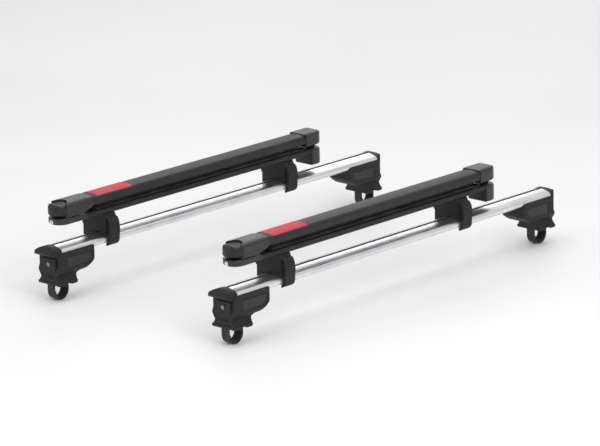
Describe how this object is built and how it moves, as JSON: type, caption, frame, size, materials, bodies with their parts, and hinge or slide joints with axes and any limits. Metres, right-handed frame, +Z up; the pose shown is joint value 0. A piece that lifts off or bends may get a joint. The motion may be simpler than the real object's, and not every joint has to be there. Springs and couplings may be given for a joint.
{
  "type": "roof ski rack",
  "caption": "Roof ski rack: clamshell ski and snowboard carriers across two aero crossbars, with rubber-lined hinged jaws, push-button latches and lockable rail towers.",
  "frame": {"origin": "centre of the rack in plan, at the height of the undersides of the rail straps", "axes": "+X towards the front of the vehicle, across the jaws; +Y to the vehicle's left, along the crossbars, away from the jaw latches; +Z up"},
  "size_m": [0.7195, 1.24, 0.2559],
  "materials": {
    "upper_jaw": "satin",
    "lower_jaw": "satin",
    "end_moulding": "satin",
    "release_button": "satin",
    "mount": "matte",
    "knob": "matte",
    "tower": "matte",
    "crossbar": "satin",
    "end_cap": "satin",
    "rubber": "matte",
    "steel": "satin",
    "lock": "gloss",
    "label": "gloss"
  },
  "bodies": {
    "rack": {"front_crossbar": "crossbar", "front_hinge_springs": "steel", "front_near_saddle": "mount", "front_far_saddle": "mount", "front_right_tower_body": "tower", "front_left_tower_body": "tower", "rear_crossbar": "crossbar", "rear_hinge_springs": "steel", "rear_near_saddle": "mount", "rear_far_saddle": "mount", "rear_right_tower_body": "tower", "rear_left_tower_body": "tower", "lower_rails": "lower_jaw", "lower_pads": "rubber", "latch_bases": "end_moulding", "hinge_towers": "end_moulding", "striker_pins": "steel", "crossbar_slot_strips": "rubber", "saddle_pads": "rubber", "rail_bolts": "steel", "tower_straps": "steel", "tower_rail_liners": "rubber", "tower_bolts": "steel", "crossbar_end_caps": "end_cap"},
    "front_carriage": {"front_hinge_carriage": "mount", "front_hinge_pin": "steel"},
    "front_jaw": {"front_upper_rail": "upper_jaw", "front_upper_pad": "rubber", "front_nose_housing": "end_moulding", "front_hinge_cap": "end_moulding", "front_latch_spring": "steel", "front_label_plate": "label"},
    "front_button": {"front_release_button": "release_button"},
    "front_lock": {"front_lock_cylinder": "lock"},
    "front_near_knob": {"front_near_clamp_knob": "knob"},
    "front_near_claw": {"front_near_clamp_claw": "mount"},
    "front_far_knob": {"front_far_clamp_knob": "knob"},
    "front_far_claw": {"front_far_clamp_claw": "mount"},
    "front_right_cover": {"front_right_tower_cover": "tower"},
    "front_right_cover_lock": {"front_right_tower_cover_lock": "lock"},
    "front_left_cover": {"front_left_tower_cover": "tower"},
    "front_left_cover_lock": {"front_left_tower_cover_lock": "lock"},
    "rear_carriage": {"rear_hinge_carriage": "mount", "rear_hinge_pin": "steel"},
    "rear_jaw": {"rear_upper_rail": "upper_jaw", "rear_upper_pad": "rubber", "rear_nose_housing": "end_moulding", "rear_hinge_cap": "end_moulding", "rear_latch_spring": "steel", "rear_label_plate": "label"},
    "rear_button": {"rear_release_button": "release_button"},
    "rear_lock": {"rear_lock_cylinder": "lock"},
    "rear_near_knob": {"rear_near_clamp_knob": "knob"},
    "rear_near_claw": {"rear_near_clamp_claw": "mount"},
    "rear_far_knob": {"rear_far_clamp_knob": "knob"},
    "rear_far_claw": {"rear_far_clamp_claw": "mount"},
    "rear_right_cover": {"rear_right_tower_cover": "tower"},
    "rear_right_cover_lock": {"rear_right_tower_cover_lock": "lock"},
    "rear_left_cover": {"rear_left_tower_cover": "tower"},
    "rear_left_cover_lock": {"rear_left_tower_cover_lock": "lock"}
  },
  "joints": [
    {"name": "front_hinge_lift", "type": "slide", "parent": "rack", "child": "front_carriage", "axis": [0, 0, 1], "range_m": [0, 0.018], "stiffness_N_per_m": 900, "springref_m": -0.004, "deforming": ["front_hinge_springs", "front_latch_spring"]},
    {"name": "front_jaw_hinge", "type": "hinge", "parent": "front_carriage", "child": "front_jaw", "pos_m": [0.309, 0.368, 0.232], "axis": [-1, 0, 0], "range_deg": [0, 70], "deforming": ["front_latch_spring"]},
    {"name": "front_button_press", "type": "slide", "parent": "front_jaw", "child": "front_button", "axis": [0, 1, 0], "range_m": [0, 0.006], "stiffness_N_per_m": 1500, "springref_m": -0.001, "deforming": ["front_latch_spring"]},
    {"name": "front_lock_turn", "type": "hinge", "parent": "rack", "child": "front_lock", "pos_m": [0.309, -0.59, 0.203], "axis": [0, 1, 0], "range_deg": [0, 90]},
    {"name": "front_near_knob_turn", "type": "hinge", "parent": "rack", "child": "front_near_knob", "pos_m": [0.309, -0.415, 0.167], "axis": [-1, 0, 0], "range_deg": [0, 3600]},
    {"name": "front_near_claw_slide", "type": "slide", "parent": "rack", "child": "front_near_claw", "axis": [1, 0, 0], "range_m": [0, 0.015]},
    {"name": "front_far_knob_turn", "type": "hinge", "parent": "rack", "child": "front_far_knob", "pos_m": [0.309, 0.25, 0.167], "axis": [-1, 0, 0], "range_deg": [0, 3600]},
    {"name": "front_far_claw_slide", "type": "slide", "parent": "rack", "child": "front_far_claw", "axis": [1, 0, 0], "range_m": [0, 0.015]},
    {"name": "front_right_cover_hinge", "type": "hinge", "parent": "rack", "child": "front_right_cover", "pos_m": [0.309, -0.6065, 0.0541], "axis": [1, 0, 0], "range_deg": [0, 95]},
    {"name": "front_right_cover_lock_turn", "type": "hinge", "parent": "front_right_cover", "child": "front_right_cover_lock", "pos_m": [0.309, -0.605, 0.097], "axis": [0, 1, 0], "range_deg": [0, 90]},
    {"name": "front_left_cover_hinge", "type": "hinge", "parent": "rack", "child": "front_left_cover", "pos_m": [0.309, 0.6065, 0.0541], "axis": [-1, 0, 0], "range_deg": [0, 95]},
    {"name": "front_left_cover_lock_turn", "type": "hinge", "parent": "front_left_cover", "child": "front_left_cover_lock", "pos_m": [0.309, 0.605, 0.097], "axis": [0, 1, 0], "range_deg": [0, 90]},
    {"name": "rear_hinge_lift", "type": "slide", "parent": "rack", "child": "rear_carriage", "axis": [0, 0, 1], "range_m": [0, 0.018], "stiffness_N_per_m": 900, "springref_m": -0.004, "deforming": ["rear_hinge_springs", "rear_latch_spring"]},
    {"name": "rear_jaw_hinge", "type": "hinge", "parent": "rear_carriage", "child": "rear_jaw", "pos_m": [-0.301, 0.368, 0.232], "axis": [-1, 0, 0], "range_deg": [0, 70], "deforming": ["rear_latch_spring"]},
    {"name": "rear_button_press", "type": "slide", "parent": "rear_jaw", "child": "rear_button", "axis": [0, 1, 0], "range_m": [0, 0.006], "stiffness_N_per_m": 1500, "springref_m": -0.001, "deforming": ["rear_latch_spring"]},
    {"name": "rear_lock_turn", "type": "hinge", "parent": "rack", "child": "rear_lock", "pos_m": [-0.301, -0.59, 0.203], "axis": [0, 1, 0], "range_deg": [0, 90]},
    {"name": "rear_near_knob_turn", "type": "hinge", "parent": "rack", "child": "rear_near_knob", "pos_m": [-0.301, -0.415, 0.167], "axis": [-1, 0, 0], "range_deg": [0, 3600]},
    {"name": "rear_near_claw_slide", "type": "slide", "parent": "rack", "child": "rear_near_claw", "axis": [1, 0, 0], "range_m": [0, 0.015]},
    {"name": "rear_far_knob_turn", "type": "hinge", "parent": "rack", "child": "rear_far_knob", "pos_m": [-0.301, 0.25, 0.167], "axis": [-1, 0, 0], "range_deg": [0, 3600]},
    {"name": "rear_far_claw_slide", "type": "slide", "parent": "rack", "child": "rear_far_claw", "axis": [1, 0, 0], "range_m": [0, 0.015]},
    {"name": "rear_right_cover_hinge", "type": "hinge", "parent": "rack", "child": "rear_right_cover", "pos_m": [-0.301, -0.6065, 0.0541], "axis": [1, 0, 0], "range_deg": [0, 95]},
    {"name": "rear_right_cover_lock_turn", "type": "hinge", "parent": "rear_right_cover", "child": "rear_right_cover_lock", "pos_m": [-0.301, -0.605, 0.097], "axis": [0, 1, 0], "range_deg": [0, 90]},
    {"name": "rear_left_cover_hinge", "type": "hinge", "parent": "rack", "child": "rear_left_cover", "pos_m": [-0.301, 0.6065, 0.0541], "axis": [-1, 0, 0], "range_deg": [0, 95]},
    {"name": "rear_left_cover_lock_turn", "type": "hinge", "parent": "rear_left_cover", "child": "rear_left_cover_lock", "pos_m": [-0.301, 0.605, 0.097], "axis": [0, 1, 0], "range_deg": [0, 90]}
  ],
  "couplings": [
    {"joint": "front_near_knob_turn", "follows": "front_near_claw_slide", "rad_per_m": 4188.8},
    {"joint": "front_far_knob_turn", "follows": "front_far_claw_slide", "rad_per_m": 4188.8},
    {"joint": "rear_near_knob_turn", "follows": "rear_near_claw_slide", "rad_per_m": 4188.8},
    {"joint": "rear_far_knob_turn", "follows": "rear_far_claw_slide", "rad_per_m": 4188.8}
  ]
}
